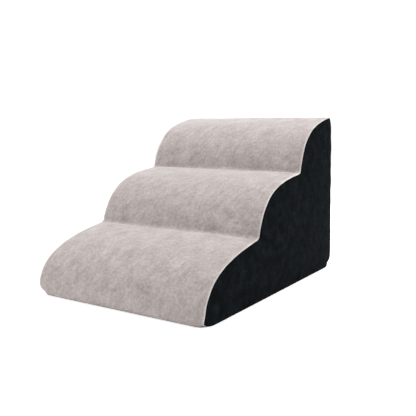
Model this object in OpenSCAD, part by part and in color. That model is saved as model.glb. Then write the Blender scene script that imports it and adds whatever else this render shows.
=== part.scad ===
// Three-step foam pet ramp: one contour-cut foam block in a sewn cover that zips open along the back.
// Frame: origin on the floor under the centre of the cover's footprint. The low step faces -Y, the tall
// back faces +Y, +X is the right-hand side when climbing, and +Z is up. Sizes are in millimetres.

/* [Overall] */
// Width across the treads
width = 392; // [300:1:500]
// Depth along the floor, from the front edge to the back face
depth = 544; // [450:1:700]
// Height of the back edge above the floor
height = 350; // [280:1:450]

/* [Steps] */
// Number of rounded steps, the top one taking the depth and height that are left
steps = 3; // [2:1:3]
// Depth of each step below the top one
step_run = 185; // [150:1:220]
// Rise of each step below the top one
step_rise = 111; // [80:1:132]
// Upright part at the very front, below the first curve
toe_h = 10; // [4:1:25]

/* [Cover] */
// Thickness of the padded plush over the steps
plush_t = 4; // [2:0.5:8]
// Thickness of the side panels
side_t = 3; // [1.5:0.5:6]
// Thickness of the back panels
back_t = 3; // [2.5:0.5:5]
// Thickness of the grip fabric underneath
base_t = 2.5; // [1.5:0.5:5]

/* [Zip] */
// Height of the zip's centre line above the floor
zip_z = 45; // [32:1:90]
// Distance from each side seam to the end of the chain
chain_inset = 22; // [10:1:80]
// How far each tape reaches in behind the folded edge of its back panel
tape_lap = 9; // [6:0.5:14]
// Thickness of the woven tape
tape_t = 0.6; // [0.4:0.1:0.9]
// Width of one row of nylon coil
coil_w = 2.4; // [1.8:0.1:3.2]
// Height of the coil above its tape
coil_t = 2.2; // [1.6:0.1:2.7]
// Space between the two rows, which the slider's divider runs in
chain_gap = 1.6; // [1.4:0.1:2.4]
// Space on each side between the slider and the folded edge of a back panel
slot_gap = 1.35; // [0.5:0.05:4]
// Length of each stop clamped on the chain
stop_l = 3; // [2:0.5:6]

/* [Slider] */
// Length of the slider's plates
slider_l = 14; // [11:0.5:18]
// Thickness of each plate and side wall
plate_t = 1.1; // [0.8:0.1:1.2]
// Clearance between the slider and the chain and tapes
run_gap = 0.35; // [0.3:0.05:0.5]
// Length of the bail that holds the pull
bail_l = 8; // [6:0.5:10]
// Width of the bail
bail_w = 1.8; // [1.2:0.1:2.4]

/* [Pull] */
// Length of the pull from its pivot to its tip
pull_l = 24; // [16:1:30]
// Width of the pull
pull_w = 7; // [6:0.5:10]
// Thickness of the pull and of its pivot bar
pull_t = 1.4; // [1:0.1:1.8]
// Clearance between the pull and the bail
pull_gap = 0.4; // [0.3:0.05:0.6]

/* [Hidden] */
$fn = 32;

plush_grey = "#bdb3b0";
suede_black = "#1d2226";
foam_cream = "#efe6c8";
tape_black = "#15181a";
zinc = "#9a9ca0";

// The curve over a nose is a cubic: its two inner control points, as shares of the step's run and rise
first_nose = [[0.03, 0.60], [0.31, 0.84]];
nose = [[0.14, 0.82], [0.53, 0.91]];
// Where a tread ends and the next riser starts, as shares of their curves, with a rounded valley between
tread_end = 0.965;
riser_start = 0.025;
nose_parts = 14;
valley_parts = 4;
// How far outlines are carried past the faces that trim them
spare = 20;

inner_w = width - 2 * side_t;
back_inner_y = depth / 2 - back_t;
chain_end = inner_w / 2 - chain_inset;
cavity_w = chain_gap + 2 * coil_w + 2 * run_gap;
slider_w = cavity_w + 2 * plate_t;
slot_w = slider_w + 2 * slot_gap;
tape_w = slot_w / 2 + tape_lap;
zip_top_z = zip_z + slot_w / 2;
zip_low_z = zip_z - slot_w / 2;

// Heights above the outer face of the tape, measured out of the back
plate_y = coil_t + run_gap;
bar_y = plate_y + plate_t + pull_gap + pull_t / 2;
crown_y = bar_y + pull_t / 2 + pull_gap;
under_y = -tape_t - run_gap;
relief = plate_t - under_y + run_gap;
window_w = bail_w + 2 * pull_gap;
// The pull's window clears the bail's outer corners as it swings past them
window_end = norm([bail_l / 2, crown_y + plate_t - bar_y]) + pull_gap;
divider_w = 0.6 * (chain_gap - 2 * run_gap);
divider_l = 3;
divider_set = 1;
slider_x = chain_end - stop_l - run_gap - slider_l / 2;
tip_hole = 2.6;
stop_over = 0.3;
tab_t = 0.8;
// How far pieces of the slider run into each other where they are cast as one
weld = 0.1;

// A point of a cubic curve, from its four control points
function cubic(p, t) =
    pow(1 - t, 3) * p[0] + 3 * pow(1 - t, 2) * t * p[1] + 3 * (1 - t) * t * t * p[2] + pow(t, 3) * p[3];

// A point of a quadratic curve, from its three control points
function quadratic(a, b, c, t) = pow(1 - t, 2) * a + 2 * (1 - t) * t * b + t * t * c;

// Where step k leaves the tread below it, and, one past the last step, the top of the back edge
function foot(k) = k == steps ? [depth, height] : [k * step_run, toe_h + k * step_rise];

// The four control points over step k
function over_step(k) =
    let (a = foot(k), d = foot(k + 1) - a, n = k == 0 ? first_nose : nose)
    [a, a + [d.x * n[0].x, d.y * n[0].y], a + [d.x * n[1].x, d.y * n[1].y], a + d];

// Points up the riser of step k, over its nose and along its tread
function nose_points(k) =
    let (from = k == 0 ? 0 : riser_start, to = k == steps - 1 ? 1 : tread_end)
    [for (i = [0 : nose_parts]) cubic(over_step(k), from + (to - from) * i / nose_parts)];

// Points round the valley where step k stands on the tread below
function valley_points(k) =
    let (a = cubic(over_step(k - 1), tread_end), c = cubic(over_step(k), riser_start))
    [for (i = [1 : valley_parts - 1]) quadratic(a, foot(k), c, i / valley_parts)];

// The cover's outer line in side view, from under the front edge to past the top of the back
function outline() =
    let (last = over_step(steps - 1), way = (last[3] - last[2]) / norm(last[3] - last[2]))
    concat(
        [[0, -spare]],
        [for (k = [0 : steps - 1]) each concat(k == 0 ? [] : valley_points(k), nose_points(k))],
        [last[3] + way * spare]
    );

// A line moved into the block by d, square to itself
function moved_in(line, d) =
    [for (i = [0 : len(line) - 1])
        let (a = line[max(i - 1, 0)], b = line[min(i + 1, len(line) - 1)], u = (b - a) / norm(b - a))
        line[i] + d * [u.y, -u.x]];

// Side view of the block, its upper line moved in by d, from height low up, and from y0 back to y1
module side_view(d, low, y0, y1) {
    intersection() {
        polygon(concat(moved_in(outline(), d), [[depth + 2 * spare, -spare]]));
        translate([y0, low]) square([y1 - y0, height + spare - low]);
    }
}

// A side view drawn out across the width, from x0 to x1
module across(x0, x1) {
    translate([x0, -depth / 2, 0]) rotate([90, 0, 90]) linear_extrude(x1 - x0) children();
}

// Things on the zip, with x along it, y out of the back from the tape's face, and z up from its middle
module on_zip(x = 0) {
    translate([x, back_inner_y, zip_z]) children();
}

module block(x0, x1, y0, y1, z0, z1) {
    translate([x0, y0, z0]) cube([x1 - x0, y1 - y0, z1 - z0]);
}

// One polyurethane foam block, cut to the stepped line, with the shallow relief that the zip presses in it
module foam_core() {
    color(foam_cream) difference() {
        across(-inner_w / 2, inner_w / 2) side_view(plush_t, base_t, 0, depth - back_t);
        on_zip() block(-width, width, -relief, spare, -tape_w - run_gap, tape_w + run_gap);
    }
}

// The light plush strip from the front bottom edge over every step to the top of the back
module top_panel() {
    color(plush_grey) across(-width / 2, width / 2) difference() {
        side_view(0, base_t, -spare, depth);
        side_view(plush_t, base_t - 1, -spare, depth + spare);
    }
}

module side_panel(x0) {
    color(suede_black) across(x0, x0 + side_t) side_view(plush_t, base_t, 0, depth);
}

module left_side_panel() {
    side_panel(-width / 2);
}

module right_side_panel() {
    side_panel(width / 2 - side_t);
}

// The dark back above the zip
module back_panel() {
    color(suede_black) across(-inner_w / 2, inner_w / 2)
        side_view(plush_t, zip_top_z, depth - back_t, depth);
}

// The dark strip between the zip and the base
module back_lower_panel() {
    color(suede_black) block(-inner_w / 2, inner_w / 2, back_inner_y, depth / 2, base_t, zip_low_z);
}

// The grip fabric that the whole block stands on
module base_panel() {
    color(suede_black) block(-width / 2, width / 2, -depth / 2, depth / 2, 0, base_t);
}

// One tape, from side seam to side seam; side is 1 above the chain and -1 below it
module zip_tape(side) {
    color(tape_black) on_zip() mirror([0, 0, side < 0 ? 1 : 0])
        block(-inner_w / 2, inner_w / 2, -tape_t, 0, chain_gap / 2, tape_w);
}

// One row of coil, sewn to the face of its tape between the stops
module zip_coil(side) {
    color(tape_black) on_zip() mirror([0, 0, side < 0 ? 1 : 0])
        block(-chain_end + stop_l, chain_end - stop_l, 0, coil_t, chain_gap / 2, chain_gap / 2 + coil_w);
}

module zip_tape_upper() {
    zip_tape(1);
}

module zip_tape_lower() {
    zip_tape(-1);
}

module zip_coil_upper() {
    zip_coil(1);
}

module zip_coil_lower() {
    zip_coil(-1);
}

// Two clamps that end the rows where the zip is closed
module zip_top_stops() {
    color(zinc) for (side = [0, 1]) on_zip() mirror([0, 0, side])
        block(chain_end - stop_l, chain_end, 0, coil_t + stop_over, chain_gap / 2, chain_gap / 2 + coil_w);
}

// One staple across both rows where the zip is open
module zip_bottom_stop() {
    half = chain_gap / 2 + coil_w;
    color(zinc) on_zip() block(-chain_end, -chain_end + stop_l, 0, coil_t + stop_over, -half, half);
}

// Two folded fabric tabs that close the opening between the stops and the side seams
module zip_end_tabs() {
    color(suede_black) for (end = [0, 1]) mirror([end, 0, 0]) on_zip()
        block(chain_end + run_gap, inner_w / 2, 0, tab_t, -slot_w / 2, slot_w / 2);
}

// One edge of a slider plate, from its tail to its wider shoulder: how far in from the ends, and from the
// full half width, each corner lies
tail_edge = [[0, 1.6], [1.2, 0.6]];
shoulder_edge = [[3, 0], [1, 0.8], [0, 2.4]];

// Outline of a slider plate, wide at the shoulders where the rows part and narrower at the tail
module plate_outline() {
    edge = concat(
        [for (c = tail_edge) [c.x - slider_l / 2, slider_w / 2 - c.y]],
        [for (c = shoulder_edge) [slider_l / 2 - c.x, slider_w / 2 - c.y]]
    );
    last = len(edge) - 1;
    polygon(concat(edge, [for (i = [0 : last]) [edge[last - i].x, -edge[last - i].y]]));
}

// A plate of the slider's outline, lying on the zip from height y0 to y1
module slider_slab(y0, y1) {
    translate([0, y1, 0]) rotate([90, 0, 0]) linear_extrude(y1 - y0) plate_outline();
}

// The cast slider: two plates joined by a divider, side walls down to the tapes, and a bail on top
module zip_slider() {
    top = plate_y + plate_t;
    front = slider_l / 2 - divider_set;
    color(zinc) on_zip(slider_x) {
        difference() {
            slider_slab(under_y - plate_t, top);
            block(-slider_l, slider_l, under_y, run_gap, -slider_w, slider_w);
            block(-slider_l, slider_l, under_y, plate_y, -cavity_w / 2, cavity_w / 2);
        }
        block(front - divider_l, front, under_y - weld, plate_y + weld, -divider_w / 2, divider_w / 2);
        difference() {
            block(-bail_l / 2, bail_l / 2, top - weld, crown_y + plate_t, -bail_w / 2, bail_w / 2);
            block(plate_t - bail_l / 2, bail_l / 2 - plate_t, top, crown_y, -bail_w, bail_w);
        }
    }
}

// The flat pull: a round pivot bar under the bail, two arms and a blade with a hole in its tip
module zip_pull() {
    tip = pull_w / 2;
    color(zinc) on_zip(slider_x) translate([0, bar_y, 0]) {
        translate([0, 0, -pull_w / 2]) cylinder(d = pull_t, h = pull_w);
        translate([0, pull_t / 2, 0]) rotate([90, 0, 0]) linear_extrude(pull_t) difference() {
            union() {
                translate([0, -pull_w / 2]) square([pull_l - tip, pull_w]);
                translate([pull_l - tip, 0]) circle(d = pull_w);
            }
            translate([0, -window_w / 2]) square([window_end, window_w]);
            translate([pull_l - tip, 0]) circle(d = tip_hole);
        }
    }
}

foam_core();
top_panel();
left_side_panel();
right_side_panel();
back_panel();
back_lower_panel();
base_panel();
zip_tape_upper();
zip_tape_lower();
zip_coil_upper();
zip_coil_lower();
zip_top_stops();
zip_bottom_stop();
zip_end_tabs();
zip_slider();
zip_pull();
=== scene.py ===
"""Three-step foam pet ramp: a cut foam block in a sewn cover, which zips open along the back."""
import math

import bmesh
import bpy
import numpy as np
from mathutils import Matrix, Vector, kdtree, noise


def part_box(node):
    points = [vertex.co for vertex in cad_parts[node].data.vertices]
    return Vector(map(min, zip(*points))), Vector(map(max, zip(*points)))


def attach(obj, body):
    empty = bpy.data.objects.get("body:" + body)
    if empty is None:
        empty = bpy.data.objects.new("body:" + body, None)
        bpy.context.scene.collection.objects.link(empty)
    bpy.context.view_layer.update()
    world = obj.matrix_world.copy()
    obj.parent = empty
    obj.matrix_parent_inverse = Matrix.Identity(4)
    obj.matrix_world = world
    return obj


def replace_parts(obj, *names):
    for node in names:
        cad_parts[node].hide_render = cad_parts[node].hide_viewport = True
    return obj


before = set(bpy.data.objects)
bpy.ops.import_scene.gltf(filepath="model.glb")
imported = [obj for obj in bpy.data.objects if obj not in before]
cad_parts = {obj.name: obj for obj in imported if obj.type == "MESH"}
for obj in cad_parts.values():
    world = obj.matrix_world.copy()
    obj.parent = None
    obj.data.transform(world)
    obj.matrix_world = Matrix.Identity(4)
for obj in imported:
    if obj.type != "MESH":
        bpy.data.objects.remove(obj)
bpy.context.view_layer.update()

# --- Foam block -----------------------------------------------------------------------------------
# One block of cream upholstery foam, cut with a hot wire to three rounded steps, with a shallow channel
# across the back for the zip. The cover is sewn to the same side line, so that line is set out here:
# from the front seam under the toe, up over the steps, down the back and forward again underneath.
MM = 0.001
STEPS = 3
STEP_RUN, STEP_RISE, TOE = 185 * MM, 111 * MM, 10 * MM
FIRST_NOSE = ((0.03, 0.60), (0.31, 0.84))
NOSE = ((0.135, 0.825), (0.52, 0.918))
TREAD_END, RISER_START = 0.965, 0.025
TOE_R, TOP_R, HEEL_R = 12 * MM, 6 * MM, 18 * MM
TOE_SEAM_SHARE = 0.3
LINE_STEP = 1 * MM
CURVE_POINTS, VALLEY_POINTS, ARC_POINTS = 160, 14, 16
FOAM_POINT_GAP = 6 * MM
FOAM_EDGE_R = 5 * MM
PLUSH_T = 4 * MM
ZIP_CHANNEL = 2.4 * MM
ZIP_CHANNEL_HALF = 17 * MM

cover_low, cover_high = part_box("top_panel")
HALF_W = cover_high.x
FRONT, BACK, TOP = cover_low.y, cover_high.y, cover_high.z
ZIP_Z = sum(corner.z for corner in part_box("zip_slider")) / 2


def foot(k):
    """Where step k stands on the tread below it. After the last step it is the top of the back."""
    return np.array((BACK, TOP) if k == STEPS else (FRONT + k * STEP_RUN, TOE + k * STEP_RISE))


def over_step(k, t):
    """Points of the cubic curve over step k, at the values t."""
    a, d = foot(k), foot(k + 1) - foot(k)
    first, second = FIRST_NOSE if k == 0 else NOSE
    b, c, t = a + d * first, a + d * second, t[:, None]
    return (1 - t) ** 3 * a + 3 * (1 - t) ** 2 * t * b + 3 * (1 - t) * t**2 * c + t**3 * (a + d)


def valley(a, corner, b):
    """Points of the quadratic curve that rounds the foot of a step, from a to b."""
    t = np.linspace(0, 1, VALLEY_POINTS)[1:-1, None]
    return (1 - t) ** 2 * a + 2 * (1 - t) * t * corner + t**2 * b


def fillet(corner, way_in, way_out, radius):
    """Points of the arc that rounds a corner between two straight ways."""
    way_in, way_out = (np.array(w) / np.hypot(*w) for w in (way_in, way_out))
    turn = math.acos(way_in @ way_out)
    reach = radius * math.tan(turn / 2)
    centre = corner + (way_out - way_in) / np.hypot(*(way_out - way_in)) * math.hypot(radius, reach)
    start, end = corner - way_in * reach - centre, corner + way_out * reach - centre
    t = np.linspace(0, 1, ARC_POINTS)[:, None]
    return centre + (np.sin((1 - t) * turn) * start + np.sin(t * turn) * end) / math.sin(turn)


def side_line():
    """Distances along the closed side line, and its points (y, z) at them."""
    up, down, forward = (0, 1), (0, -1), (-1, 0)
    starts = [0] + [RISER_START] * (STEPS - 1)
    curves = [over_step(k, np.linspace(start, TREAD_END, CURVE_POINTS)) for k, start in enumerate(starts)]
    last = over_step(STEPS - 1, np.linspace(RISER_START, 1, CURVE_POINTS))
    top_way = last[-1] - last[-2]
    top = fillet(last[-1], top_way, down, TOP_R)
    curves[-1] = last[last[:, 0] < top[0, 0]]
    curves[0] = curves[0][curves[0][:, 1] > TOE_R]
    toe = fillet(np.array((FRONT, 0)), forward, up, TOE_R)
    heel = fillet(np.array((BACK, 0)), down, forward, HEEL_R)
    seam_at = round(len(toe) * TOE_SEAM_SHARE)
    parts = [toe[seam_at:], curves[0]]
    for k in range(1, STEPS):
        parts += [valley(curves[k - 1][-1], foot(k), curves[k][0]), curves[k]]
    points = np.vstack([*parts, top, heel, toe[:seam_at + 1]])
    along = np.r_[0, np.cumsum(np.hypot(*np.diff(points, axis=0).T))]
    even = np.linspace(0, along[-1], int(along[-1] / LINE_STEP) + 1)
    return even, np.column_stack([np.interp(even, along, axis) for axis in points.T])


LINE_S, LINE = side_line()
ahead = np.roll(LINE[:-1], -2, axis=0) - np.roll(LINE[:-1], 2, axis=0)
ahead = np.vstack([ahead, ahead[:1]]) / np.hypot(*np.vstack([ahead, ahead[:1]]).T)[:, None]
INWARD = np.column_stack([ahead[:, 1], -ahead[:, 0]])


def on_line(s, inset):
    """The point (y, z) at s along the side line, moved straight into the block by inset."""
    s = s % LINE_S[-1]
    at = np.array([np.interp(s, LINE_S, axis) for axis in LINE.T])
    way = np.array([np.interp(s, LINE_S, axis) for axis in INWARD.T])
    return at + way / np.hypot(*way) * inset


SOFT_CORNER, SOFT_CORNER_REACH = 6 * MM, 15 * MM
# A side, a y, a z and a share of SOFT_CORNER.
SOFT_CORNERS = ((1, FRONT, 0, 1.0), (-1, FRONT, 0, 1.6), (1, BACK, 0, 1.1), (-1, BACK, 0, 0.8),
                (1, BACK, TOP, 0.35), (-1, BACK, TOP, 0.35))
CORNER_UP, CORNER_DOWN = 0.25, -0.5
SOFT_EDGE, SOFT_EDGE_REACH = 2.6 * MM, 7 * MM
PINCH, PINCH_REACH, PINCH_FROM_SEAM = 4.5 * MM, 8 * MM, 7 * MM
# A side, a step and a share of PINCH.
PINCHES = ((1, 1, 1.0), (1, 2, 0.4), (-1, 1, 0.5), (-1, 2, 0.7))
PINCH_IN, PINCH_BACK, PINCH_DOWN = 0.3, 0.9, 0.3


def drawn_in(co):
    """How far the seams draw a point in: where three meet at a corner, up off the floor along both sides,
    and where one turns the foot of a step."""
    moved = Vector((0, 0, 0))
    for side, y, z, share in SOFT_CORNERS:
        inward = Vector((-side, -math.copysign(1, y), CORNER_DOWN if z else CORNER_UP))
        away = math.hypot(co.y - y, co.z - z, HALF_W - side * co.x)
        moved += inward * (SOFT_CORNER * share * math.exp(-((away / SOFT_CORNER_REACH) ** 2)))
    from_side_edge = math.hypot(co.z, HALF_W - abs(co.x)) / SOFT_EDGE_REACH
    moved.z += SOFT_EDGE * math.exp(-(from_side_edge**2))
    for side, k, share in PINCHES:
        y, z = foot(k)
        away = math.hypot(co.y - y, co.z - z - PINCH_FROM_SEAM, side * (HALF_W - PINCH_FROM_SEAM) - co.x)
        way = Vector((-side * PINCH_IN, PINCH_BACK, -PINCH_DOWN))
        moved += way * (PINCH * share * math.exp(-((away / PINCH_REACH) ** 2)))
    return moved


def ring_of(bm, x, inset, gap):
    """A closed ring round the side line, at x and moved in by inset(s): its edges and its vertices."""
    count = int(LINE_S[-1] / gap)
    verts = []
    for s in np.arange(count) * LINE_S[-1] / count:
        y, z = on_line(s, inset(s))
        verts.append(bm.verts.new((x, y, z)))
    return [bm.edges.new((verts[i - 1], verts[i])) for i in range(count)], verts


def add(tree, kind, inputs, **settings):
    """A shader node, with its settings and its inputs set to values or linked to sockets."""
    made = tree.nodes.new("ShaderNode" + kind)
    for name, value in settings.items():
        setattr(made, name, value)
    for name, value in inputs.items():
        if isinstance(value, bpy.types.NodeSocket):
            tree.links.new(value, made.inputs[name])
        else:
            made.inputs[name].default_value = value
    return made


def new_group(name, inputs, outputs):
    """An empty shader node group with float or vector inputs, and its input and output nodes."""
    tree = bpy.data.node_groups.new(name, "ShaderNodeTree")
    for socket, value in inputs.items():
        kind = "NodeSocketVector" if value is None else "NodeSocketFloat"
        made = tree.interface.new_socket(socket, in_out="INPUT", socket_type=kind)
        if value is not None:
            made.default_value = value
    for socket in outputs:
        tree.interface.new_socket(socket, in_out="OUTPUT", socket_type="NodeSocketFloat")
    return tree, tree.nodes.new("NodeGroupInput").outputs, tree.nodes.new("NodeGroupOutput").inputs


FIBRE_LEAN = math.radians(24)


def fibre_group():
    """Short fibres: fine flecks, streaks where the pile lies over, and wide uneven clouds, each 0 to 1."""
    sizes = {"Vector": None, "Fleck size": 0.001, "Streak size": 0.01, "Streak length": 4.0,
             "Cloud size": 0.08}
    tree, given, out = new_group("fibres", sizes, ("Flecks", "Streaks", "Clouds"))
    for name, detail in (("Fleck", 4.0), ("Cloud", 2.0)):
        scale = add(tree, "Math", {0: 1.0, 1: given[name + " size"]}, operation="DIVIDE")
        grain = add(tree, "TexNoise", {"Vector": given["Vector"], "Scale": scale.outputs[0], "Detail": detail,
                                       "Roughness": 0.65})
        tree.links.new(grain.outputs["Fac"], out[name + "s"])
    lean = add(tree, "Mapping", {"Vector": given["Vector"], "Rotation": (0, 0, FIBRE_LEAN)})
    longer = add(tree, "Math", {0: 1.0, 1: given["Streak length"]}, operation="DIVIDE")
    pull = add(tree, "CombineXYZ", {"X": 1.0, "Y": longer.outputs[0], "Z": 1.0})
    long_way = add(tree, "VectorMath", {0: lean.outputs[0], 1: pull.outputs[0]}, operation="MULTIPLY")
    scale = add(tree, "Math", {0: 1.0, 1: given["Streak size"]}, operation="DIVIDE")
    streak = add(tree, "TexNoise", {"Vector": long_way.outputs[0], "Scale": scale.outputs[0], "Detail": 5.0,
                                    "Roughness": 0.6, "Distortion": 0.5})
    tree.links.new(streak.outputs["Fac"], out["Streaks"])
    return tree


FIBRES = fibre_group()


def new_material(name, **values):
    """A material with its Principled BSDF's plain values set, and its tree and shader."""
    made = bpy.data.materials.new(name)
    made.use_nodes = True
    shader = made.node_tree.nodes["Principled BSDF"]
    for socket, value in values.items():
        shader.inputs[socket.replace("_", " ")].default_value = value
    return made, made.node_tree, shader


NOISE_LOW, NOISE_HIGH = 0.3, 0.7


def spread(tree, value, low, high):
    """A value that goes from low to high as a noise goes over its usual range."""
    ends = {"From Min": NOISE_LOW, "From Max": NOISE_HIGH, "To Min": low, "To Max": high}
    return add(tree, "MapRange", {"Value": value, **ends}, clamp=False).outputs[0]


# The Mix node's colour sockets share their names with its others, so they are reached by number.
MIX_SHARE, MIX_A, MIX_B, MIX_COLOUR = 0, 6, 7, 2


def between(tree, share, a, b):
    """A colour between a and b, by share."""
    mix = add(tree, "Mix", {}, data_type="RGBA")
    for number, value in ((MIX_SHARE, share), (MIX_A, a), (MIX_B, b)):
        if isinstance(value, bpy.types.NodeSocket):
            tree.links.new(value, mix.inputs[number])
        else:
            mix.inputs[number].default_value = value
    return mix.outputs[MIX_COLOUR]


def new_piece(name, bm, material, body="covered_block"):
    """Turns a bmesh into a smooth shaded piece that rides on a body."""
    mesh = bpy.data.meshes.new(name)
    bm.to_mesh(mesh)
    bm.free()
    mesh.materials.append(material)
    mesh.shade_smooth()
    piece = bpy.data.objects.new(name, mesh)
    bpy.context.scene.collection.objects.link(piece)
    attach(piece, body)
    return piece


CREAM, CREAM_DARK = (0.80, 0.72, 0.50, 1), (0.70, 0.60, 0.37, 1)
CELLS_PER_METRE = 900.0
foam, tree, shader = new_material("cut_foam", Roughness=0.95, Subsurface_Weight=0.1)
where = add(tree, "TexCoord", {}).outputs["Object"]
cells = add(tree, "TexVoronoi", {"Vector": where, "Scale": CELLS_PER_METRE})
fibres = add(tree, "Group", {}, node_tree=FIBRES)
tree.links.new(where, fibres.inputs["Vector"])
tint = between(tree, spread(tree, fibres.outputs["Clouds"], 0, 0.6), CREAM, CREAM_DARK)
# The colour darkens towards the middle of each cell, where the bump sinks a pore: painted shade in the pores.
tree.links.new(between(tree, cells.outputs["Distance"], CREAM_DARK, tint), shader.inputs["Base Color"])
pores = add(tree, "Bump", {"Height": cells.outputs["Distance"], "Strength": 0.6, "Distance": 0.0006})
tree.links.new(pores.outputs[0], shader.inputs["Normal"])


def foam_inset(s):
    """How far the foam lies inside the side line: under the cover, and deeper along the zip."""
    y, z = on_line(s, 0)
    in_channel = y > BACK - MM and abs(z - ZIP_Z) < ZIP_CHANNEL_HALF
    return PLUSH_T + (ZIP_CHANNEL if in_channel else 0)


def solid_block(inset, half_w, gap, edge_r):
    """The side line, moved in, filled and drawn out across the width, with its two outlines rounded."""
    bm = bmesh.new()
    face = bm.faces.new(ring_of(bm, -half_w, inset, gap)[1])
    drawn = bmesh.ops.extrude_face_region(bm, geom=[face])["geom"]
    far = [v for v in drawn if isinstance(v, bmesh.types.BMVert)]
    bmesh.ops.translate(bm, verts=far, vec=(2 * half_w, 0, 0))
    rims = [e for e in bm.edges if abs(e.verts[0].co.x - e.verts[1].co.x) < half_w]
    bmesh.ops.recalc_face_normals(bm, faces=bm.faces)
    bmesh.ops.bevel(bm, geom=rims, offset=edge_r, segments=3, profile=0.5, affect="EDGES", material=-1)
    return bm


block = solid_block(foam_inset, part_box("foam_core")[1].x, FOAM_POINT_GAP, FOAM_EDGE_R)
for vert in block.verts:
    vert.co += drawn_in(vert.co)
foam_block = new_piece("foam_block", block, foam)
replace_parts(foam_block, "foam_core")

# --- How the foam fills the cover ------------------------------------------------------------------
# The foam is cut a little oversize, so it presses the cover outwards between the seams, and each tread,
# riser and side crowns by a few millimetres. A cloth simulation of the whole cover, held along its seams
# and under its base, gives that push, and every panel of the cover then takes it.
CLOTH_VOXEL = 7 * MM
CLOTH_START = 1 * MM
CLOTH_PRESSURE = 4.0
CLOTH_FRAMES = 20
CLOTH_CAP = 3.2 * MM
HELD_NEAR_SEAM = 11 * MM
HELD_ABOVE_FLOOR = 4 * MM
NEIGHBOURS = 6

line_tree = kdtree.KDTree(len(LINE))
for index, (line_y, line_z) in enumerate(LINE):
    line_tree.insert((0, line_y, line_z), index)
line_tree.balance()


def seam_gap(co):
    """How far a point is from the nearer side seam."""
    return math.hypot(HALF_W - abs(co[0]), line_tree.find((0, co[1], co[2]))[2])


def foam_push():
    """Points of the cover before it is filled, as a search tree, and how far the foam moves each."""
    bm = solid_block(lambda s: CLOTH_START, HALF_W - CLOTH_START, FOAM_POINT_GAP, FOAM_EDGE_R)
    mesh = bpy.data.meshes.new("cloth_form")
    bm.to_mesh(mesh)
    bm.free()
    form = bpy.data.objects.new("cloth_form", mesh)
    bpy.context.scene.collection.objects.link(form)
    bpy.context.view_layer.objects.active = form
    remesh = form.modifiers.new("remesh", "REMESH")
    remesh.mode, remesh.voxel_size = "VOXEL", CLOTH_VOXEL
    bpy.ops.object.modifier_apply(modifier=remesh.name)
    start = [v.co.copy() for v in form.data.vertices]
    held = form.vertex_groups.new(name="held")
    near = [i for i, co in enumerate(start) if seam_gap(co) < HELD_NEAR_SEAM or co.z < HELD_ABOVE_FLOOR]
    held.add(near, 1.0, "REPLACE")
    cloth = form.modifiers.new("cloth", "CLOTH")
    cloth.settings.use_pressure = True
    cloth.settings.uniform_pressure_force = CLOTH_PRESSURE
    cloth.settings.vertex_group_mass = held.name
    cloth.settings.effector_weights.gravity = 0
    cloth.point_cache.frame_end = CLOTH_FRAMES
    for step in range(1, CLOTH_FRAMES + 1):
        bpy.context.scene.frame_set(step)
    filled = form.evaluated_get(bpy.context.evaluated_depsgraph_get()).data.vertices
    pushes = [f.co - co for f, co in zip(filled, start)]
    pushes = [p.normalized() * (CLOTH_CAP * math.tanh(p.length / CLOTH_CAP)) for p in pushes]
    tree = kdtree.KDTree(len(start))
    for i, co in enumerate(start):
        tree.insert(co, i)
    tree.balance()
    bpy.context.scene.frame_set(1)
    bpy.data.objects.remove(form)
    return tree, pushes


cover_tree, cover_pushes = foam_push()

RIPPLES = ((90 * MM, 1.2 * MM), (28 * MM, 0.35 * MM))
SEAM_RIPPLE, SEAM_RIPPLE_SIZE, SEAM_RIPPLE_REACH = 0.8 * MM, 24 * MM, 16 * MM
SEAM_RIPPLE_SHIFT = Vector((7, 3, 5))
STILL_BY_ZIP, LOOSE_FROM_ZIP = 15 * MM, 50 * MM
TOP_LIFT, TOP_LIFT_REACH = 3.0 * MM, 45 * MM


def settle(co, outward):
    """Where a point of the cover ends up: pushed out by the foam, rippled, and drawn in by the seams."""
    co, outward = Vector(co), Vector(outward)
    moved = co.copy()
    from_zip = math.hypot(max(0.0, abs(co.z - ZIP_Z) - STILL_BY_ZIP), min(0.0, co.y - BACK + HEEL_R))
    loose = min(1.0, from_zip / (LOOSE_FROM_ZIP - STILL_BY_ZIP))
    if cover_tree:
        found = cover_tree.find_n(co, NEIGHBOURS)
        shares = [1 / (distance + MM) ** 2 for _, _, distance in found]
        for (_, i, _), share in zip(found, shares):
            moved += cover_pushes[i] * (share / sum(shares) * loose)
    flat = min(1.0, co.z / SEAM_RIPPLE_REACH) * loose
    for size, height in RIPPLES:
        moved += outward * (noise.noise(co / size) * height * flat)
    gap = seam_gap(co)
    by_seam = math.exp(-((gap / SEAM_RIPPLE_REACH) ** 2))
    waved = noise.noise(co / SEAM_RIPPLE_SIZE + SEAM_RIPPLE_SHIFT)
    moved += outward * (waved * SEAM_RIPPLE * by_seam * flat)
    from_top = math.hypot(co.y - BACK, co.z - TOP) / TOP_LIFT_REACH
    moved.z += TOP_LIFT * math.exp(-(from_top**2))
    moved += drawn_in(co)
    moved.z = max(moved.z, 0)
    return moved


# --- Plush over the steps --------------------------------------------------------------------------
# One long strip of light grey short-pile plush, from the seam under the toe, over the three steps, to
# the seam at the top of the back. Its long edges roll over the foam's edges and are sewn, face to face,
# to the dark side panels a few millimetres down; a lighter grey painted along each edge, a painted
# highlight on the roll, makes the plush show as a light band round each side.
GRID = 3 * MM
SIDE_SEAM = (1.2 * MM, 0.2 * MM, 0.5 * MM)
SEAM_FROM_SIDE = 1.6 * MM
CROSS_SEAM = (2.6 * MM, 0.9 * MM, 0.6 * MM)
SEAM_DEPTH = SIDE_SEAM[0] + SIDE_SEAM[1]
ROLL_START = HALF_W - SEAM_FROM_SIDE - SIDE_SEAM[0]
CORNER_TUCK, CORNER_SINK = 0.85, 0.3
ROLL_STEPS = 5
# Past the roll, each point is at a share of the tuck and a share of the drop.
TURNED_IN = ((0, 0.5), (0.3, 0.85), (1, 1))
TOP_ROLL_DOWN = 5 * MM
PLUSH_WALL = 2.1 * MM


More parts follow.
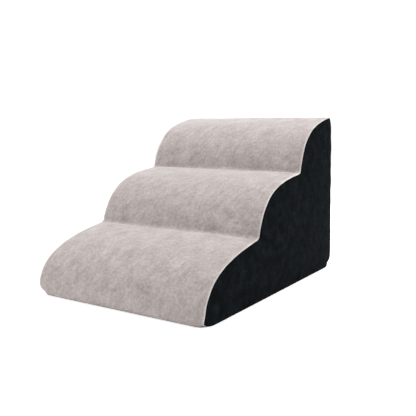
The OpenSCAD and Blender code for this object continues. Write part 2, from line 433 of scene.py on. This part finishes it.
def edge_of(roll, drop, tuck):
    """How the edge of a panel turns over: how far out it is, and how deep, down to the seam's stitching."""
    turn = np.linspace(0, math.pi / 2, ROLL_STEPS + 1)[1:]
    arc = [(roll * math.sin(a), roll * (1 - math.cos(a))) for a in turn]
    return arc + [(roll - tuck * tucked, roll + drop * dropped) for tucked, dropped in TURNED_IN]


def rolled(low, high, gap, low_edge, high_edge):
    """Places from low to high across a panel whose two edges turn over into their seams, each with how
    deep it lies and how far along the cloth it is."""
    flat_low, flat_high = low + low_edge[0], high - high_edge[0]
    places = [(flat_low - out, deep) for out, deep in reversed(edge_of(*low_edge))]
    count = max(2, round((flat_high - flat_low) / gap))
    places += [(at, 0.0) for at in np.linspace(flat_low, flat_high, count)]
    places += [(flat_high + out, deep) for out, deep in edge_of(*high_edge)]
    lengths = np.r_[0, np.cumsum([math.dist(a, b) for a, b in zip(places, places[1:])])]
    return [(at, deep, length) for (at, deep), length in zip(places, lengths)]


across_cover = rolled(SEAM_FROM_SIDE - HALF_W, HALF_W - SEAM_FROM_SIDE, GRID, SIDE_SEAM, SIDE_SEAM)


def panel(name, across, along, lift, material, thickness):
    """A strip of cloth laid on the side line: a grid, bent over the block, with a wall of its own."""
    bm = bmesh.new()
    bmesh.ops.create_grid(bm, x_segments=len(across) - 1, y_segments=len(along) - 1, size=0.5)
    cloth_uv = bm.loops.layers.uv.new("cloth")
    rows = [(np.array((0, *on_line(s, 0))), np.array((0, *on_line(s, MM))), deep, v) for s, deep, v in along]
    for vert in bm.verts:
        x, deep_x, u = across[round((vert.co.x + 0.5) * (len(across) - 1))]
        on_cover, inside, deep_s, v = rows[round((vert.co.y + 0.5) * (len(along) - 1))]
        inward = Vector((inside - on_cover) / MM)
        side = min(1.0, deep_x / SIDE_SEAM[0])
        outward = Vector((math.copysign(side, x), 0, 0)) - inward * (1 - side)
        over_side = max(0.0, abs(x) - ROLL_START) * min(1.0, deep_s / CROSS_SEAM[0])
        x -= math.copysign(over_side * CORNER_TUCK, x)
        inset = max(deep_x, deep_s) + CORNER_SINK * min(deep_x, deep_s) + lift
        vert.co = settle(Vector((x, *on_cover[1:])) + inward * inset, outward)
        for loop in vert.link_loops:
            loop[cloth_uv].uv = (u, v)
    piece = new_piece(name, bm, material)
    wall = piece.modifiers.new("cloth_thickness", "SOLIDIFY")
    wall.thickness, wall.offset = thickness, -1
    return piece


# The third plush colour is a painted highlight, laid along the rolled long edges.
PILE_LIGHT, PILE_DARK, PILE_EDGE_HIGHLIGHT = (0.58, 0.53, 0.515, 1), (0.36, 0.30, 0.292, 1), (0.82, 0.77, 0.75, 1)
EDGE_HIGHLIGHT_WIDTH = 6.5 * MM
plush, tree, shader = new_material(
    "grey_plush", Roughness=0.92, Specular_IOR_Level=0.12, Sheen_Weight=0.6, Sheen_Roughness=0.42,
    Sheen_Tint=(1.0, 0.995, 0.98, 1))
along_cloth = add(tree, "UVMap", {}, uv_map="cloth").outputs[0]
pile = add(tree, "Group", {"Fleck size": 0.0055, "Streak size": 0.013, "Streak length": 2.2,
                           "Cloud size": 0.035}, node_tree=FIBRES)
tree.links.new(along_cloth, pile.inputs["Vector"])
shade = add(tree, "Math", {0: spread(tree, pile.outputs["Streaks"], 0.0, 0.5),
                           1: spread(tree, pile.outputs["Flecks"], -0.25, 0.55)}, operation="ADD").outputs[0]
shade = add(tree, "Math", {0: shade, 1: spread(tree, pile.outputs["Clouds"], -0.1, 0.3)}, operation="ADD",
            use_clamp=True).outputs[0]
# Over the last few millimetres to each long edge the colour turns light grey: a painted highlight on the
# rolled edge, where it catches the side light.
from_edge = add(tree, "SeparateXYZ", {0: along_cloth}).outputs[0]
middle = across_cover[-1][2] / 2
from_middle = add(tree, "Math", {0: from_edge, 1: middle}, operation="SUBTRACT").outputs[0]
from_middle = add(tree, "Math", {0: from_middle}, operation="ABSOLUTE").outputs[0]
painted_edge_highlight = add(tree, "MapRange", {"Value": from_middle, "From Min": middle - EDGE_HIGHLIGHT_WIDTH, "From Max": middle,
                                "To Min": 0.0, "To Max": 1.0}, interpolation_type="SMOOTHSTEP").outputs[0]
tree.links.new(between(tree, painted_edge_highlight, between(tree, shade, PILE_DARK, PILE_LIGHT), PILE_EDGE_HIGHLIGHT),
               shader.inputs["Base Color"])
tufts = add(tree, "Bump", {"Height": pile.outputs["Flecks"], "Strength": 0.5, "Distance": 0.001})
laid = add(tree, "Bump", {"Height": pile.outputs["Streaks"], "Strength": 0.35, "Distance": 0.002,
                          "Normal": tufts.outputs[0]})
tree.links.new(laid.outputs[0], shader.inputs["Normal"])


def place_on_line(y, z):
    """How far along the side line its nearest point to (y, z) is."""
    return LINE_S[np.argmin(np.hypot(LINE[:, 0] - y, LINE[:, 1] - z))]


top_seam = place_on_line(BACK, TOP - TOP_R) + TOP_ROLL_DOWN
over_steps = rolled(0, top_seam, GRID, CROSS_SEAM, CROSS_SEAM)
plush_panel = panel("plush_panel", across_cover, over_steps, 0, plush, PLUSH_WALL)
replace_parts(plush_panel, "top_panel")

# --- Side panels -----------------------------------------------------------------------------------
# Two pieces of near-black suede-like cloth, cut to the stepped outline. Each is sewn round its whole
# edge, so it comes up out of the seam in a small roll and lies flat against the foam.
SIDE_T = 1.6 * MM
TO_DIVIDE = 1
SIDE_GRID = 6 * MM
SIDE_RING_GAP = 3 * MM
SIDE_MERGE = 0.5 * MM
QUAD = 4
# How far each ring lies in from the seam, and how far out from the side, in mm.
SIDE_EDGE = ((0.3, -2.9), (-0.9, -1.4), (-0.8, -0.7), (0.0, -0.15), (1.8, 0.0), (6.5, 0.0))
SUEDE, SUEDE_NAPPED = (0.0005, 0.0013, 0.0019, 1), (0.0058, 0.0099, 0.0124, 1)

suede, tree, shader = new_material("dark_suede", Specular_IOR_Level=0.06, Sheen_Weight=0.01,
                                   Sheen_Roughness=0.5, Sheen_Tint=(0.75, 0.88, 1.0, 1))
where = add(tree, "TexCoord", {}).outputs["Object"]
nap = add(tree, "Group", {"Vector": where, "Fleck size": 0.004, "Streak size": 0.012, "Streak length": 1.5,
                          "Cloud size": 0.02}, node_tree=FIBRES)
shade = add(tree, "Math", {0: spread(tree, nap.outputs["Clouds"], -0.5, 0.75),
                           1: spread(tree, nap.outputs["Flecks"], -0.45, 0.65)}, operation="ADD").outputs[0]
shade = add(tree, "Math", {0: shade, 1: spread(tree, nap.outputs["Streaks"], -0.15, 0.35)}, operation="ADD",
            use_clamp=True).outputs[0]
tree.links.new(between(tree, shade, SUEDE, SUEDE_NAPPED), shader.inputs["Base Color"])
tree.links.new(spread(tree, nap.outputs["Streaks"], 0.78, 0.95), shader.inputs["Roughness"])
hairs = add(tree, "Bump", {"Height": nap.outputs["Flecks"], "Strength": 0.3, "Distance": 0.0004})
tree.links.new(hairs.outputs[0], shader.inputs["Normal"])


def side_panel(name, side):
    """The stepped outline, drawn up out of its seam ring by ring and filled, then divided finely."""
    bm = bmesh.new()
    edges = []
    for deep, out in SIDE_EDGE:
        inset = SEAM_DEPTH + deep * MM
        if edges:
            drawn = bmesh.ops.extrude_edge_only(bm, edges=edges)["geom"]
            edges = [e for e in drawn if isinstance(e, bmesh.types.BMEdge)]
            verts = [v for v in drawn if isinstance(v, bmesh.types.BMVert)]
        else:
            edges, verts = ring_of(bm, 0, lambda s: 0, SIDE_RING_GAP)
        for i, vert in enumerate(verts):
            y, z = on_line(i * LINE_S[-1] / len(verts), inset)
            vert.co = (HALF_W + out * MM, y, z)
    bm.faces.new(verts).material_index = TO_DIVIDE
    for axis, low, high in ((1, FRONT, BACK), (2, 0, TOP)):
        for place in np.arange(low + SIDE_GRID, high, SIDE_GRID):
            at, way = Vector((0, 0, 0)), Vector((0, 0, 0))
            at[axis], way[axis] = place, 1
            flat = [f for f in bm.faces if f.material_index == TO_DIVIDE]
            parts = set(flat) | {e for f in flat for e in f.edges} | {v for f in flat for v in f.verts}
            bmesh.ops.bisect_plane(bm, geom=list(parts), plane_co=at, plane_no=way)
    for face in bm.faces:
        face.material_index = 0
    bmesh.ops.remove_doubles(bm, verts=bm.verts, dist=SIDE_MERGE)
    bmesh.ops.triangulate(bm, faces=[f for f in bm.faces if len(f.verts) > QUAD])
    bmesh.ops.scale(bm, vec=(side, 1, 1), verts=bm.verts)
    for vert in bm.verts:
        vert.co = settle(vert.co, (side, 0, 0))
    bmesh.ops.recalc_face_normals(bm, faces=bm.faces)
    if sum(f.normal.x * f.calc_area() for f in bm.faces) * side < 0:
        bmesh.ops.reverse_faces(bm, faces=bm.faces)
    piece = new_piece(name, bm, suede)
    wall = piece.modifiers.new("cloth_thickness", "SOLIDIFY")
    wall.thickness, wall.offset = SIDE_T, -1
    return piece


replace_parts(side_panel("right_side_suede", 1), "right_side_panel")
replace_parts(side_panel("left_side_suede", -1), "left_side_panel")

# --- Back panels -----------------------------------------------------------------------------------
# The same dark cloth closes the back in two strips, one above the zip and one below it. Each is folded
# under in a narrow hem beside the zip and topstitched through it.
HEM = (1.3 * MM, 0.5 * MM, 0.3 * MM)
BACK_GRID = 5 * MM
BACK_WALL = 1.5 * MM
HEEL_SEAM_FORWARD = 4 * MM
slot_top, slot_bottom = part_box("back_panel")[0].z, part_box("back_lower_panel")[1].z
hem_above, hem_below = place_on_line(BACK, slot_top), place_on_line(BACK, slot_bottom)
heel_seam = place_on_line(BACK - HEEL_R, 0) + HEEL_SEAM_FORWARD

above_zip = rolled(top_seam, hem_above, BACK_GRID, CROSS_SEAM, HEM)
back_upper = panel("back_upper_suede", across_cover, above_zip, 0, suede, BACK_WALL)
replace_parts(back_upper, "back_panel")
below_zip = rolled(hem_below, heel_seam, BACK_GRID, HEM, CROSS_SEAM)
back_lower = panel("back_lower_suede", across_cover, below_zip, 0, suede, BACK_WALL)
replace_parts(back_lower, "back_lower_panel")

STITCH_PITCH, STITCH_LENGTH, STITCH_R = 3.4 * MM, 2.6 * MM, 0.28 * MM
STITCH_FROM_FOLD = 2.6 * MM
THREAD_DARK, THREAD_LIGHT = (0.012, 0.014, 0.016, 1), (0.035, 0.038, 0.042, 1)
thread, tree, shader = new_material("dark_thread", Roughness=0.6)
where = add(tree, "TexCoord", {}).outputs["Object"]
twist = add(tree, "TexWave", {"Vector": where, "Scale": 900.0, "Distortion": 0.5},
            bands_direction="DIAGONAL")
ply = between(tree, twist.outputs["Fac"], THREAD_DARK, THREAD_LIGHT)
tree.links.new(ply, shader.inputs["Base Color"])


def repeat(bm, count, step):
    """Copies all that the mesh holds until there are count of it, each a step from the last."""
    made, faces_each = 1, len(bm.faces)
    while made < count:
        copied = min(made, count - made)
        bm.faces.ensure_lookup_table()
        copies = bmesh.ops.duplicate(bm, geom=bm.faces[:faces_each * copied])["geom"]
        verts = [v for v in copies if isinstance(v, bmesh.types.BMVert)]
        bmesh.ops.translate(bm, verts=verts, vec=Vector(step) * made)
        made += copied


def stitch_rows(name, low_z, high_z, half_length, y):
    """Two rows of lockstitches along X, one at each height on the back."""
    count = int(2 * half_length / STITCH_PITCH)
    shape = Matrix.Diagonal((STITCH_LENGTH / 2, STITCH_R, STITCH_R, 1))
    start = Matrix.Translation((STITCH_PITCH * (1 - count) / 2, y, low_z))
    bm = bmesh.new()
    bmesh.ops.create_uvsphere(bm, u_segments=6, v_segments=5, radius=1, matrix=start @ shape)
    repeat(bm, count, (STITCH_PITCH, 0, 0))
    repeat(bm, 2, (0, 0, high_z - low_z))
    return new_piece(name, bm, thread)


stitch_rows("hem_stitches", slot_bottom - STITCH_FROM_FOLD, slot_top + STITCH_FROM_FOLD,
            HALF_W - 2 * SEAM_DEPTH, BACK)

# --- Base panel ------------------------------------------------------------------------------------
# Dark woven grip fabric under the block, sewn to the plush at the toe and to the lower back panel at the
# heel, and dotted with small rubber pips that keep it from sliding.
PIP_R, PIP_TIP_R, PIP_H, PIP_PITCH = 1.5 * MM, 1.05 * MM, 0.6 * MM, 9 * MM
PIP_ROW_PITCH = PIP_PITCH * math.sqrt(3) / 2
PIP_SIDES = 10
PIP_MARGIN = 16 * MM
BASE_WALL = 1.4 * MM
WEAVE_PITCH = 1.1 * MM


def weave_group():
    """A plain weave: one yarn over, one under, as a height and as which yarn is on top, each 0 to 1."""
    tree, given, out = new_group("weave", {"Vector": None, "Pitch": 0.001}, ("Height", "Warp on top"))
    turns = add(tree, "Math", {0: math.pi, 1: given["Pitch"]}, operation="DIVIDE").outputs[0]
    scaled = add(tree, "VectorMath", {0: given["Vector"], "Scale": turns}, operation="SCALE").outputs[0]
    split = add(tree, "SeparateXYZ", {0: scaled}).outputs
    waves = [add(tree, "Math", {0: split[i]}, operation="SINE").outputs[0] for i in (0, 1)]
    over = add(tree, "Math", {0: waves[0], 1: waves[1]}, operation="MULTIPLY").outputs[0]
    tree.links.new(add(tree, "Math", {0: over}, operation="ABSOLUTE").outputs[0], out["Height"])
    on_top = add(tree, "Math", {0: over, 1: 0.0}, operation="GREATER_THAN").outputs[0]
    tree.links.new(on_top, out["Warp on top"])
    return tree


WEAVE = weave_group()


def woven(name, pitch, dark, light, **values):
    """A woven cloth material on a piece's own cloth coordinates."""
    made, tree, shader = new_material(name, **values)
    along_cloth = add(tree, "UVMap", {}, uv_map="cloth").outputs[0]
    yarns = add(tree, "Group", {"Pitch": pitch}, node_tree=WEAVE)
    fuzz = add(tree, "Group", {"Fleck size": pitch / 3, "Cloud size": 0.05}, node_tree=FIBRES)
    for group in (yarns, fuzz):
        tree.links.new(along_cloth, group.inputs["Vector"])
    share = add(tree, "Math", {0: yarns.outputs["Warp on top"], 1: 0.35}, operation="MULTIPLY").outputs[0]
    worn = spread(tree, fuzz.outputs["Clouds"], 0, 0.5)
    share = add(tree, "Math", {0: share, 1: worn}, operation="ADD").outputs[0]
    tree.links.new(between(tree, share, dark, light), shader.inputs["Base Color"])
    raised = add(tree, "Bump", {"Height": yarns.outputs["Height"], "Strength": 0.7, "Distance": pitch / 3})
    tree.links.new(raised.outputs[0], shader.inputs["Normal"])
    return made


grip = woven("grip_cloth", WEAVE_PITCH, (0.012, 0.014, 0.015, 1), (0.03, 0.033, 0.035, 1), Roughness=0.9)
under = rolled(heel_seam, LINE_S[-1], BACK_GRID, CROSS_SEAM, CROSS_SEAM)
base_grip = panel("base_grip_cloth", across_cover, under, PIP_H, grip, BASE_WALL)
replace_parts(base_grip, "base_panel")

RUBBER, RUBBER_SCUFFED = (0.02, 0.02, 0.021, 1), (0.045, 0.045, 0.047, 1)
rubber, tree, shader = new_material("grip_rubber")
where = add(tree, "TexCoord", {}).outputs["Object"]
scuffs = add(tree, "TexNoise", {"Vector": where, "Scale": 700.0, "Detail": 3.0})
tree.links.new(between(tree, scuffs.outputs["Fac"], RUBBER, RUBBER_SCUFFED), shader.inputs["Base Color"])
tree.links.new(spread(tree, scuffs.outputs["Fac"], 0.45, 0.7), shader.inputs["Roughness"])
pips_across = int((2 * HALF_W - 2 * PIP_MARGIN) / PIP_PITCH)
row_pairs = int((BACK - FRONT - 2 * PIP_MARGIN) / (2 * PIP_ROW_PITCH))
bm = bmesh.new()
first_pip = Matrix.Translation((-PIP_PITCH * pips_across / 2, FRONT + PIP_MARGIN, PIP_H / 2))
bmesh.ops.create_cone(bm, cap_ends=True, segments=PIP_SIDES, radius1=PIP_TIP_R, radius2=PIP_R, depth=PIP_H,
                      matrix=first_pip)
repeat(bm, pips_across, (PIP_PITCH, 0, 0))
repeat(bm, 2, (PIP_PITCH / 2, PIP_ROW_PITCH, 0))
repeat(bm, row_pairs, (0, 2 * PIP_ROW_PITCH, 0))
new_piece("grip_pips", bm, rubber)

# --- Zip tapes -------------------------------------------------------------------------------------
# Two strips of woven polyester tape behind the slot, each sewn to the hem beside it by the topstitching.
# The coils are fixed along the edges that face each other.
TAPE_GRID = 2 * MM
TAPE_EDGE = 0.32 * MM
TAPE_WEAVE_PITCH = 0.7 * MM
tape_cloth = woven("zip_tape_weave", TAPE_WEAVE_PITCH, (0.010, 0.012, 0.013, 1), (0.035, 0.038, 0.04, 1),
                   Roughness=0.75)


def flat_tape(name, node, material):
    """A flat woven strip with a wall of its own, in the space of its CAD node and in behind its coil."""
    low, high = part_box(node)
    if low.z > ZIP_Z:
        low.z = ZIP_Z + TAPE_EDGE
    else:
        high.z = ZIP_Z - TAPE_EDGE
    size, middle = high - low, (low + high) / 2
    bm = bmesh.new()
    along, across = round(size.x / TAPE_GRID), round(size.z / TAPE_GRID)
    bmesh.ops.create_grid(bm, x_segments=along, y_segments=across, size=0.5)
    cloth_uv = bm.loops.layers.uv.new("cloth")
    for face in bm.faces:
        for loop in face.loops:
            loop[cloth_uv].uv = (loop.vert.co.x * size.x, loop.vert.co.y * size.z)
    turned = Matrix.Rotation(math.pi / 2, 4, "X") @ Matrix.Diagonal((size.x, size.z, 1, 1))
    in_place = Matrix.Translation((middle.x, high.y, middle.z))
    bmesh.ops.transform(bm, matrix=in_place @ turned, verts=bm.verts)
    bmesh.ops.reverse_faces(bm, faces=bm.faces)
    piece = new_piece(name, bm, material)
    wall = piece.modifiers.new("cloth_thickness", "SOLIDIFY")
    wall.thickness, wall.offset = size.y, -1
    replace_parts(piece, node)


flat_tape("upper_tape", "zip_tape_upper", tape_cloth)
flat_tape("lower_tape", "zip_tape_lower", tape_cloth)

# --- Zip coils -------------------------------------------------------------------------------------
# Each tape carries a nylon filament wound in a close oval coil. The heads of one coil sit between the
# heads of the other, half a turn apart, and the slider's wedge passes between them.
COIL_PITCH = 1.5 * MM
FILAMENT_R = 0.36 * MM
FILAMENT_SIDES, TURN_STEPS = 5, 10
FILAMENT_LEAN = math.radians(80)
COIL_HEAD = 0.36 * MM
TOUCHING = 0.001 * MM
NYLON_DARK, NYLON_LIGHT = (0.010, 0.011, 0.012, 1), (0.04, 0.042, 0.045, 1)
nylon, tree, shader = new_material("black_nylon")
where = add(tree, "TexCoord", {}).outputs["Object"]
rub = add(tree, "TexNoise", {"Vector": where, "Scale": 500.0, "Detail": 2.0})
tree.links.new(between(tree, rub.outputs["Fac"], NYLON_DARK, NYLON_LIGHT), shader.inputs["Base Color"])
tree.links.new(spread(tree, rub.outputs["Fac"], 0.3, 0.5), shader.inputs["Roughness"])


def coil(name, node, half_turn):
    """One filament, spun along X in an oval that fills the CAD coil and reaches in to its head."""
    low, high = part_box(node)
    above = low.z > ZIP_Z
    heads = ZIP_Z + (COIL_HEAD if above else -COIL_HEAD)
    tails = high.z if above else low.z
    deep, wide = (high.y - low.y) / 2 - FILAMENT_R, abs(tails - heads) / 2 - FILAMENT_R
    turns = int((high.x - low.x) / COIL_PITCH) - 1
    bm = bmesh.new()
    bmesh.ops.create_circle(bm, segments=FILAMENT_SIDES, radius=FILAMENT_R)
    bmesh.ops.rotate(bm, verts=bm.verts, matrix=Matrix.Rotation(FILAMENT_LEAN, 3, "X"))
    bmesh.ops.translate(bm, verts=bm.verts, vec=(low.x + COIL_PITCH * (0.5 + half_turn), deep, 0))
    bmesh.ops.spin(bm, geom=bm.verts[:] + bm.edges[:], cent=(0, 0, 0), axis=(1, 0, 0), angle=2 * math.pi,
                   steps=TURN_STEPS, dvec=(COIL_PITCH / TURN_STEPS, 0, 0))
    repeat(bm, turns, (COIL_PITCH, 0, 0))
    bmesh.ops.remove_doubles(bm, verts=bm.verts, dist=TOUCHING)
    bmesh.ops.holes_fill(bm, edges=[e for e in bm.edges if e.is_boundary], sides=FILAMENT_SIDES)
    bmesh.ops.scale(bm, verts=bm.verts, vec=(1, 1, (wide + FILAMENT_R) / (deep + FILAMENT_R)))
    bmesh.ops.translate(bm, verts=bm.verts, vec=(0, (low.y + high.y) / 2, (heads + tails) / 2))
    bmesh.ops.recalc_face_normals(bm, faces=bm.faces)
    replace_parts(new_piece(name, bm, nylon), node)


coil("upper_coil", "zip_coil_upper", 0.0)
coil("lower_coil", "zip_coil_lower", 0.5)

# --- Zip slider, pull and stops --------------------------------------------------------------------
# Die-cast zinc: a slider with its wedge and bail, a flat pull that swings in the bail, and the small
# clamps that end the chain. Casting leaves every edge softly rounded, and handling brightens them.
CAST_R = 0.28 * MM
SMALL_CAST_R = 0.12 * MM
ROUNDING_STEPS = 2
FLAT_WITHIN, SHARP_FROM = math.radians(1), math.radians(35)
ZINC, ZINC_WORN = (0.33, 0.335, 0.35, 1), (0.62, 0.63, 0.65, 1)
zinc, tree, shader = new_material("cast_zinc", Metallic=1.0)
where = add(tree, "TexCoord", {}).outputs["Object"]
grain = add(tree, "TexNoise", {"Vector": where, "Scale": 900.0, "Detail": 4.0})
handled = add(tree, "TexNoise", {"Vector": where, "Scale": 160.0, "Detail": 2.0})
tree.links.new(between(tree, spread(tree, handled.outputs["Fac"], 0.1, 0.9), ZINC, ZINC_WORN),
               shader.inputs["Base Color"])
tree.links.new(spread(tree, grain.outputs["Fac"], 0.3, 0.5), shader.inputs["Roughness"])
cast = add(tree, "Bump", {"Height": grain.outputs["Fac"], "Strength": 0.15, "Distance": 0.0002})
tree.links.new(cast.outputs[0], shader.inputs["Normal"])


def rounded_copy(name, node, material, body, radius):
    """A CAD node's own shape, merged and with its edges rounded."""
    bm = bmesh.new()
    bm.from_mesh(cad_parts[node].data)
    bmesh.ops.remove_doubles(bm, verts=bm.verts, dist=TOUCHING)
    bmesh.ops.dissolve_limit(bm, angle_limit=FLAT_WITHIN, verts=bm.verts, edges=bm.edges)
    piece = new_piece(name, bm, material, body)
    softened = piece.modifiers.new("cast_edges", "BEVEL")
    softened.width, softened.segments, softened.limit_method = radius, ROUNDING_STEPS, "ANGLE"
    softened.angle_limit = SHARP_FROM
    softened.harden_normals = True
    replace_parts(piece, node)


rounded_copy("cast_slider", "zip_slider", zinc, "slider", CAST_R)
rounded_copy("cast_pull", "zip_pull", zinc, "pull", CAST_R)
rounded_copy("top_stops", "zip_top_stops", zinc, "covered_block", SMALL_CAST_R)
rounded_copy("bottom_stop", "zip_bottom_stop", zinc, "covered_block", SMALL_CAST_R)

# --- Zip end tabs ----------------------------------------------------------------------------------
# A folded tab of the dark cloth covers each end of the tapes and runs into the side seam.
TAB_FOLD_R = 0.24 * MM
rounded_copy("end_tabs", "zip_end_tabs", suede, "covered_block", TAB_FOLD_R)

# --- Floor, light and camera -----------------------------------------------------------------------
# A plain white floor in soft studio light: a wide softbox overhead, a tall one on the right, one behind on
# the left and a low one in front, with a dim white world filling the shadows. The camera stands off the
# front right corner, at about the height of the block, and looks a little down.
FLOOR_R, FLOOR_SIDES = 12.0, 96
FLOOR_GLOW = 0.85
FILL_LIGHT, BACKDROP_LIGHT = 0.18, 1.05
WHITE = (1, 1, 1, 1)
bm = bmesh.new()
bmesh.ops.create_circle(bm, cap_ends=True, segments=FLOOR_SIDES, radius=FLOOR_R)
floor_mesh = bpy.data.meshes.new("floor")
bm.to_mesh(floor_mesh)
bm.free()
floor = bpy.data.objects.new("floor", floor_mesh)
bpy.context.scene.collection.objects.link(floor)
paper, tree, shader = new_material("white_paper", Base_Color=(0.9, 0.9, 0.9, 1), Roughness=1.0,
                                   Specular_IOR_Level=0.0, Emission_Color=WHITE)
to_camera = add(tree, "LightPath", {}).outputs["Is Camera Ray"]
glow = add(tree, "Math", {0: to_camera, 1: FLOOR_GLOW}, operation="MULTIPLY").outputs[0]
tree.links.new(glow, shader.inputs["Emission Strength"])
from_below = add(tree, "NewGeometry", {}).outputs["Backfacing"]
see_through = add(tree, "BsdfTransparent", {}).outputs[0]
seen = add(tree, "MixShader", {0: from_below, 1: shader.outputs[0], 2: see_through})
tree.links.new(seen.outputs[0], tree.nodes["Material Output"].inputs["Surface"])
floor_mesh.materials.append(paper)


def softbox(name, at, aim, size, watts):
    """A rectangular light at a point, facing another point."""
    light = bpy.data.lights.new(name, "AREA")
    light.shape = "RECTANGLE"
    light.size, light.size_y = size
    light.energy = watts
    lamp = bpy.data.objects.new(name, light)
    lamp.location = at
    lamp.rotation_euler = (Vector(aim) - Vector(at)).to_track_quat("-Z", "Y").to_euler()
    bpy.context.scene.collection.objects.link(lamp)


softbox("overhead", (0.1, 0.5, 2.2), (0, 0.05, 0.1), (1.8, 1.6), 49)
softbox("right_side", (2.3, 0.1, 1.0), (0, 0, 0.2), (1.2, 1.4), 22)
softbox("rear_left", (-1.2, 2.2, 1.1), (0, 0.2, 0.15), (1.4, 1.2), 16)
softbox("front", (-0.8, -1.4, 0.22), (-0.05, -0.25, 0.03), (1.2, 0.4), 10.0)

world = bpy.data.worlds.new("studio")
world.use_nodes = True
fill = world.node_tree.nodes["Background"]
fill.inputs["Strength"].default_value = FILL_LIGHT
fill.inputs["Color"].default_value = WHITE
backdrop = add(world.node_tree, "Background", {"Color": WHITE, "Strength": BACKDROP_LIGHT})
to_camera = add(world.node_tree, "LightPath", {}).outputs["Is Camera Ray"]
either = add(world.node_tree, "MixShader", {0: to_camera, 1: fill.outputs[0], 2: backdrop.outputs[0]})
world.node_tree.links.new(either.outputs[0], world.node_tree.nodes["World Output"].inputs["Surface"])
bpy.context.scene.world = world
bpy.context.scene.view_settings.view_transform = "Standard"

CAMERA_AT = (0.712, -1.065, 0.329)
CAMERA_TURN, CAMERA_DOWN = math.radians(32.78), math.radians(2.94)
CAMERA_LENS, CAMERA_SHIFT = 51.76, -0.12
lens = bpy.data.cameras.new("camera")
lens.lens = CAMERA_LENS
lens.shift_y = CAMERA_SHIFT
camera = bpy.data.objects.new("camera", lens)
camera.location = CAMERA_AT
camera.rotation_euler = (math.pi / 2 - CAMERA_DOWN, 0, CAMERA_TURN)
bpy.context.scene.collection.objects.link(camera)
bpy.context.scene.camera = camera
